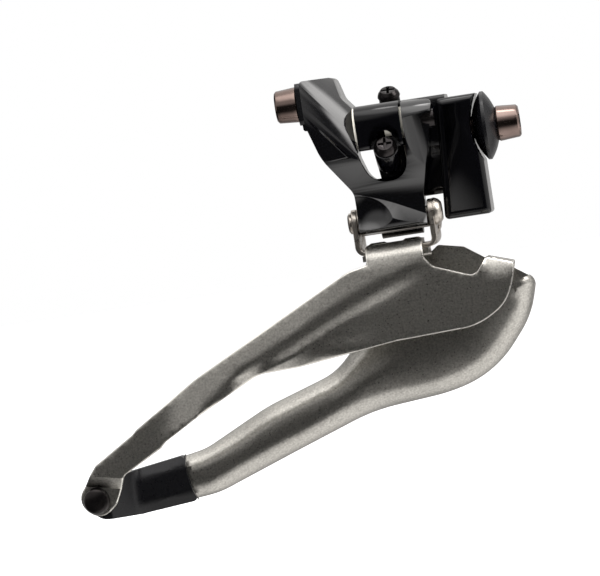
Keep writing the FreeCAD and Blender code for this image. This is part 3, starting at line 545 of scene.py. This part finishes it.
# %% Press the outer plate
STRIP_BACK = 0.62
STRIP_WALL = (0.2, 3.2)
VALLEY_RETURN = 0.3
VALLEY_WALL = (-0.1, 1.3)
STRIP_LEAN = 0.14
STRIP_LEAN_AT_TAIL = 0.05
LEAN_BEGINS = 1.0
LEAN_GROWS = (-28.0, -44.0)
TAIL_FORWARD = 0.55
TAIL_SHIFT = (-46.0, -56.0)
SECOND_BACK = 0.32
SECOND_WALL = (0.0, 2.4)
SECOND_BELOW_CREASE = (1.5, 4.0)
SECOND_BEGINS = (-24.0, -36.0)
LOBE_FOOT = (-46.0, -45.8)
LOBE_FOOT_SLOPE = 0.115
LOBE_TURN = 0.9
LOBE_REACH = 2.8
LOBE_BEGINS = (-28.0, -38.0)
LOBE_ENDS = (-60.0, -53.0)
RELIEF_BEGINS = (-12.0, -24.0)
RELIEF_ENDS = (-78.0, -70.5)
FRONT_SHEET = (-12.0, -15.0)
FLANGE_FOOT = -27.5
FLANGE_RISE = 4.5
FLANGE_BEGINS = (-8.0, -11.0)
TAB_FOOT = -33.5
TAB_RISE = 4.0
TAB_BEGINS = (-2.0, 0.0)
TOP_LEAN = 0.9


def crease_relief(x, z):
    below = (crease_height(x) - z) * CREASE_ACROSS
    below_second = (second_height(x) - z) * SECOND_ACROSS
    push = STRIP_BACK * (1 - step(below, *STRIP_WALL))
    push -= VALLEY_RETURN * step(-below, *VALLEY_WALL)
    lean = STRIP_LEAN + STRIP_LEAN_AT_TAIL * step(x, *LEAN_GROWS)
    push += lean * max(-below - LEAN_BEGINS, 0.0)
    push -= TAIL_FORWARD * step(x, *TAIL_SHIFT)
    second = SECOND_BACK * (1 - step(below_second, *SECOND_WALL))
    return push + second * step(below, *SECOND_BELOW_CREASE) * step(x, *SECOND_BEGINS)


def lobe_relief(x, z):
    foot = LOBE_FOOT[1] + max(0.0, (x - LOBE_FOOT[0]) * LOBE_FOOT_SLOPE)
    near = max(1 - (z - foot) / LOBE_REACH, 0.0)
    return LOBE_TURN * near * near * step(x, *LOBE_BEGINS) * step(x, *LOBE_ENDS)


def lean_above(z, foot, rise):
    return TOP_LEAN * (max(z - foot, 0.0) / rise) ** 2


def outer_height(x, y, z):
    fade = step(x, *RELIEF_BEGINS) * step(x, *RELIEF_ENDS)
    relief = (crease_relief(x, z) + lobe_relief(x, z)) * fade
    flange = lean_above(z, FLANGE_FOOT, FLANGE_RISE) * step(x, *FLANGE_BEGINS)
    tab = lean_above(z, TAB_FOOT, TAB_RISE) * step(x, *TAB_BEGINS)
    return (relief + flange + tab) * step(y, *FRONT_SHEET)


press_plate("outer_cage_plate", outer_sheet, outer_height)

# %% [markdown]
# ### The inner plate's rolled lobe
# The roll widens round the big lobe under the nose. The push grows with the square of how near a
# point is to the outline, which gives a surface that leaves the flat part without a line. This plate
# keeps its packed edges, because a bevel there left dark streaks on its back.

# %% Press the inner plate
LOBE_EDGE = [(-27.0, -25.4), (-12.6, -25.4), (-11.0, -24.2), (-5.5, -25.4), (-1.0, -28.6),
             (4.2, -31.2), (9.0, -34.6), (6.6, -42.6), (-3.0, -54.0), (-14.0, -56.8),
             (-30.8, -58.3), (-47.9, -64.3), (-67.0, -71.2), (-73.0, -71.8), (-73.4, -62.0),
             (-68.6, -61.1), (-54.0, -54.0), (-38.0, -48.8), (-32.0, -43.0), (-29.0, -34.0)]
LOBE_EDGE.append(LOBE_EDGE[0])
FAR_AWAY = 99.0
ROLL_WIDTH = 6.5
ROLL_WIDER = 5.0
ROLL_PUSH = 1.0
ROLL_PUSH_MORE = 1.3
BIG_LOBE = (-45.0, -22.0)
ROLL_BELOW = (-33.0, -39.0)
ROLL_TAIL = (-69.0, -60.0)


def edge_distance(x, z):
    best = FAR_AWAY
    for (ax, az), (bx, bz) in zip(LOBE_EDGE, LOBE_EDGE[1:]):
        dx, dz = bx - ax, bz - az
        along = ((x - ax) * dx + (z - az) * dz) / (dx * dx + dz * dz)
        along = min(max(along, 0.0), 1.0)
        best = min(best, math.hypot(x - ax - along * dx, z - az - along * dz))
    return best


def inner_height(x, y, z):
    lobe = step(x, *BIG_LOBE)
    width = ROLL_WIDTH + ROLL_WIDER * lobe
    near = max(1 - edge_distance(x, z) / width, 0.0)
    fade = step(z, *ROLL_BELOW) * step(x, *ROLL_TAIL)
    return (ROLL_PUSH + ROLL_PUSH_MORE * lobe) * near * near * fade


def plain_copy(name):
    mesh = as_mesh(welded_holder(name))
    mesh.materials.clear()
    mesh.materials.append(finishes["cage_metal"])
    return mesh


press_plate("inner_cage_plate", plain_copy("inner_cage_plate"), inner_height)

# %% [markdown]
# ## The tail spacer
# The moulded arm is clipped into the end of the inner plate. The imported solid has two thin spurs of
# flash at the corners of that end. The copy here has them trimmed back to the line of the arm. Its
# front face gets a broad chamfer along both long edges, as the moulding has. A boolean could do the
# same, but moving the points keeps the grid even.

# %% Lines of the tail spacer
SPACER_TOP = (-73.0, -61.6, 0.152)
SPACER_FOOT = (-71.4, -71.9, 0.095)
SPACER_END = -73.6
SPACER_GRID = 0.8 * MM
SPACER_WELD = 0.02 * MM
CHAMFER_WIDTH = 2.4
CHAMFER_DEPTH = 1.3
CHAMFER_FACE = (-1.0, -4.0)
CHAMFER_BEGINS = (-86.0, -82.0)


def spacer_lines(x):
    # each line is given by the x and z of its end and by its slope
    top = SPACER_TOP[1] + SPACER_TOP[2] * (x - SPACER_TOP[0])
    foot = SPACER_FOOT[1] + SPACER_FOOT[2] * (x - SPACER_FOOT[0])
    return top, foot


def trim_spurs(form):
    for vert in form.verts:
        x, z = vert.co.x / MM, vert.co.z / MM
        top, foot = spacer_lines(x)
        if x > SPACER_END and z > top:
            vert.co.z = top * MM
            vert.co.x = min(x, SPACER_TOP[0]) * MM
        if x > SPACER_END and z < foot:
            vert.co.z = foot * MM
            vert.co.x = min(x, SPACER_FOOT[0]) * MM
    bmesh.ops.remove_doubles(form, verts=form.verts[:], dist=SPACER_WELD)


print("spacer is trimmed to the right of x =", SPACER_END)

# %% [markdown]
# The trimmed copy is sliced like the plates, so that the chamfer has points to move. How far a point
# moves depends on its distance from the nearer long edge.

# %% Make the tail spacer
def moulded_spacer():
    form = bmesh.new()
    form.from_mesh(nodes["tail_spacer"].data)
    trim_spurs(form)
    bmesh.ops.triangulate(form, faces=form.faces[:])
    low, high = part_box("tail_spacer")
    slice_grid(form, low, high, SPACER_GRID)
    for vert in form.verts:
        x, y, z = vert.co / MM
        top, foot = spacer_lines(x)
        near = max(1 - min(top - z, z - foot) / CHAMFER_WIDTH, 0.0)
        vert.co.y += CHAMFER_DEPTH * near * step(y, *CHAMFER_FACE) * step(x, *CHAMFER_BEGINS) * MM
    smooth_but_sharp(form)
    mesh = bpy.data.meshes.new("tail_spacer_moulded")
    form.to_mesh(mesh)
    form.free()
    mesh.materials.append(finishes["black_plastic"])
    piece = bpy.data.objects.new("tail_spacer_moulded", mesh)
    bpy.context.scene.collection.objects.link(piece)
    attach(piece, "cage")
    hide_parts("tail_spacer")
    return piece


print("moulded:", moulded_spacer().name)

# %% [markdown]
# ## The return spring
# The spring is wound round the inner link's upper pivot. One leg stands against the knuckle's roof
# and the other presses on the link, so the real wire twists as the cage swings. Here the coil stays
# with the body and the moving leg goes with the link. The leg keeps part of the last turn, which
# lies in the coil's own line, so no gap opens between them.

# %% The spring's wire
COIL_CENTRE = (-2.5, 2.1)
COIL_RADIUS = 2.5
COIL_PITCH = 1.3
COIL_START = -19.05
WIRE_RADIUS = 0.4
WIRE_ROUNDNESS = 4


def coil_point(turn):
    angle = math.pi + 2 * math.pi * turn
    return Vector((COIL_START + COIL_PITCH * turn, COIL_CENTRE[0] + COIL_RADIUS * math.cos(angle),
                   COIL_CENTRE[1] + COIL_RADIUS * math.sin(angle))) * MM


def wire(name, points, body):
    data = bpy.data.curves.new(name, "CURVE")
    data.dimensions = "3D"
    data.bevel_depth = WIRE_RADIUS * MM
    data.bevel_resolution = WIRE_ROUNDNESS
    data.use_fill_caps = True
    line = data.splines.new("POLY")
    line.points.add(len(points) - 1)
    for point, place in zip(line.points, points):
        point.co = (*place, 1)
    line.use_smooth = True
    piece = bpy.data.objects.new(name, data)
    data.materials.append(finishes["spring_steel"])
    bpy.context.scene.collection.objects.link(piece)
    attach(piece, body)
    return piece


print("coil radius", COIL_RADIUS, "mm, wire", 2 * WIRE_RADIUS, "mm thick")

# %% [markdown]
# The coil is three turns worked out by a formula, with its fixed leg straight up. The moving leg
# starts in the last turn, bends off the coil and runs down the link, through a few points given in
# millimetres.

# %% Wind the spring
COIL_TURNS = 3
STEPS_PER_TURN = 32
FIXED_LEG = 3.5
SHARED_TURN = 0.14
SHARED_STEPS = 5
LEG_POINTS = ((-15.1, -4.8, 0.9), (-14.95, -4.2, -0.2), (-14.8, -3.68, -1.3), (-14.7, -3.35, -3.2),
              (-14.55, -2.78, -6.57))

turns = [i / STEPS_PER_TURN for i in range(COIL_TURNS * STEPS_PER_TURN + 1)]
fixed_leg = [coil_point(0) + Vector((0, 0, FIXED_LEG * MM))]
coil = wire("spring_coil", fixed_leg + [coil_point(t) for t in turns], "base")
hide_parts("return_spring")
shared_start = COIL_TURNS - SHARED_TURN
shared = [coil_point(shared_start + SHARED_TURN * i / SHARED_STEPS) for i in range(SHARED_STEPS + 1)]
leg = [Vector(p) * MM for p in LEG_POINTS]
moving_leg = wire("spring_leg", shared + leg, "inner_link")
print("spring pieces:", coil.name, moving_leg.name)

# %% [markdown]
# ## The studio
# The part hangs over a white floor. Polished black only shows what is round it, and in the photo it
# shows a dark room with a few bright cards, so the room has two faces here. The camera sees plain
# white. Glossy rays, which make the reflections, see the dark room and its cards.

# %% The floor
FLOOR_DROP = 30 * MM
FLOOR_REACH = 3.0
FLOOR_GREY = (0.85, 0.85, 0.85, 1)
FLOOR_GLOW = (0.9, 0.9, 0.9, 1)


def make_floor():
    low = cad_low.z - FLOOR_DROP
    mesh = bpy.data.meshes.new("floor")
    corners = [(x * FLOOR_REACH, y * FLOOR_REACH, low) for x, y in ((-1, -1), (1, -1), (1, 1), (-1, 1))]
    mesh.from_pydata(corners, [], [(0, 1, 2, 3)])
    floor = bpy.data.objects.new("floor", mesh)
    floor.visible_glossy = False
    material = bpy.data.materials.new("floor_white")
    material.use_nodes = True
    tree = material.node_tree
    shader = principled(material)
    shader.inputs["Base Color"].default_value = FLOOR_GREY
    shader.inputs["Roughness"].default_value = 0.9
    path = tree.nodes.new("ShaderNodeLightPath")
    tree.links.new(path.outputs["Is Camera Ray"], shader.inputs["Emission Strength"])
    shader.inputs["Emission Color"].default_value = FLOOR_GLOW
    mesh.materials.append(material)
    bpy.context.scene.collection.objects.link(floor)
    return floor


floor = make_floor()
print("floor lies", round(FLOOR_DROP / MM), "mm under the lowest point")

# %% [markdown]
# ## Lamps
# One wide lamp from above and a small low one give soft light to what is not polished. They are
# hidden from glossy rays, because their mirror images would turn the black metal grey.

# %% Hang the lamps
LAMP_TARGET = Vector((-0.03, -0.01, -0.02))


def make_lamp(name, place, size, watts):
    data = bpy.data.lights.new(name, "AREA")
    data.shape = "RECTANGLE"
    data.size, data.size_y = size
    data.energy = watts
    lamp = bpy.data.objects.new(name, data)
    lamp.location = place
    lamp.rotation_mode = "QUATERNION"
    lamp.rotation_quaternion = (LAMP_TARGET - Vector(place)).to_track_quat("-Z", "Y")
    lamp.visible_glossy = False
    bpy.context.scene.collection.objects.link(lamp)
    return lamp


softbox = make_lamp("softbox", (-0.05, -0.25, 0.75), (1.1, 0.7), 14)
low_card = make_lamp("low_card", (0.5, -0.5, -0.02), (0.5, 0.5), 1.2)
print("lamps:", softbox.name, low_card.name)

# %% [markdown]
# ## The room of cards
# A card is a soft round patch of light in one direction. The world compares the direction of a ray
# with the direction of each card: the nearer they are, the larger the cosine between them, and the
# brighter the patch. All cards are added up over a little light that is everywhere. This needs no
# picture of a room, and a card can be turned or dimmed by changing one line.

# %% Add a card to the room
ROOM_DARK = 0.03


def add_card(tree, place, total, card):
    direction, start, full, brightness = card
    along = tree.nodes.new("ShaderNodeVectorMath")
    along.operation = "DOT_PRODUCT"
    along.inputs[1].default_value = Vector(direction).normalized()
    soft = tree.nodes.new("ShaderNodeMapRange")
    soft.interpolation_type = "SMOOTHSTEP"
    soft.inputs["From Min"].default_value = start
    soft.inputs["From Max"].default_value = full
    soft.inputs["To Min"].default_value = 0.0
    soft.inputs["To Max"].default_value = brightness
    add = tree.nodes.new("ShaderNodeMath")
    add.operation = "ADD"
    tree.links.new(place.outputs["Generated"], along.inputs[0])
    tree.links.new(along.outputs["Value"], soft.inputs["Value"])
    tree.links.new(soft.outputs["Result"], add.inputs[0])
    if total is None:
        add.inputs[1].default_value = ROOM_DARK
    else:
        tree.links.new(total, add.inputs[1])
    return add.outputs["Value"]


print("the room between the cards has a strength of", ROOM_DARK)

# %% [markdown]
# The world mixes three backgrounds by the kind of ray. Plain grey lights the matt surfaces, the room
# of cards is for reflections, and white is for the camera. The order of the two Mix nodes matters:
# the camera's comes last, so the background of the picture is always white.

# %% Make the world
# each card: direction, cosine where it starts and where it is full, brightness
CARDS = [
    ((0.1, 0.1, 0.99), 0.35, 0.95, 1.3),
    ((-0.3, -0.65, 0.7), 0.72, 0.92, 0.6),
    ((0.0, -0.45, 0.9), 0.86, 0.98, 0.9),
    ((0.05, -0.1, 1.0), 0.985, 0.998, 6.0),
    ((0.72, -0.3, 0.62), 0.9, 0.97, 4.5),
    ((0.45, -0.1, -0.9), 0.45, 0.95, 1.3),
    ((1.0, 0.0, 0.0), 0.7, 0.95, 0.8),
    ((-0.95, -0.2, 0.2), 0.86, 0.97, 0.5),
    ((0.0, 1.0, 0.0), 0.4, 0.95, 0.5),
]
PLAIN_GREY = (0.35, 0.35, 0.36, 1)
CARD_WHITE = (1.0, 0.985, 0.97, 1)
PICTURE_WHITE = (1, 1, 1, 1)


def add_background(tree, color):
    background = tree.nodes.new("ShaderNodeBackground")
    background.inputs["Color"].default_value = color
    return background


def mix_by_ray(tree, ray, other, chosen):
    mix = tree.nodes.new("ShaderNodeMixShader")
    tree.links.new(ray, mix.inputs["Fac"])
    tree.links.new(other, mix.inputs[1])
    tree.links.new(chosen, mix.inputs[2])
    return mix.outputs["Shader"]


def make_world():
    world = bpy.data.worlds.new("studio")
    bpy.context.scene.world = world
    world.use_nodes = True
    world.cycles.sampling_method = "NONE"
    tree = world.node_tree
    plain = tree.nodes["Background"]
    plain.inputs["Color"].default_value = PLAIN_GREY
    room = add_background(tree, CARD_WHITE)
    white = add_background(tree, PICTURE_WHITE)
    place = tree.nodes.new("ShaderNodeTexCoord")
    total = None
    for card in CARDS:
        total = add_card(tree, place, total, card)
    tree.links.new(total, room.inputs["Strength"])
    path = tree.nodes.new("ShaderNodeLightPath")
    lit = mix_by_ray(tree, path.outputs["Is Glossy Ray"], plain.outputs["Background"],
                     room.outputs["Background"])
    seen = mix_by_ray(tree, path.outputs["Is Camera Ray"], lit, white.outputs["Background"])
    tree.links.new(seen, tree.nodes["World Output"].inputs["Surface"])
    return world


print("world:", make_world().name, "with", len(CARDS), "cards")
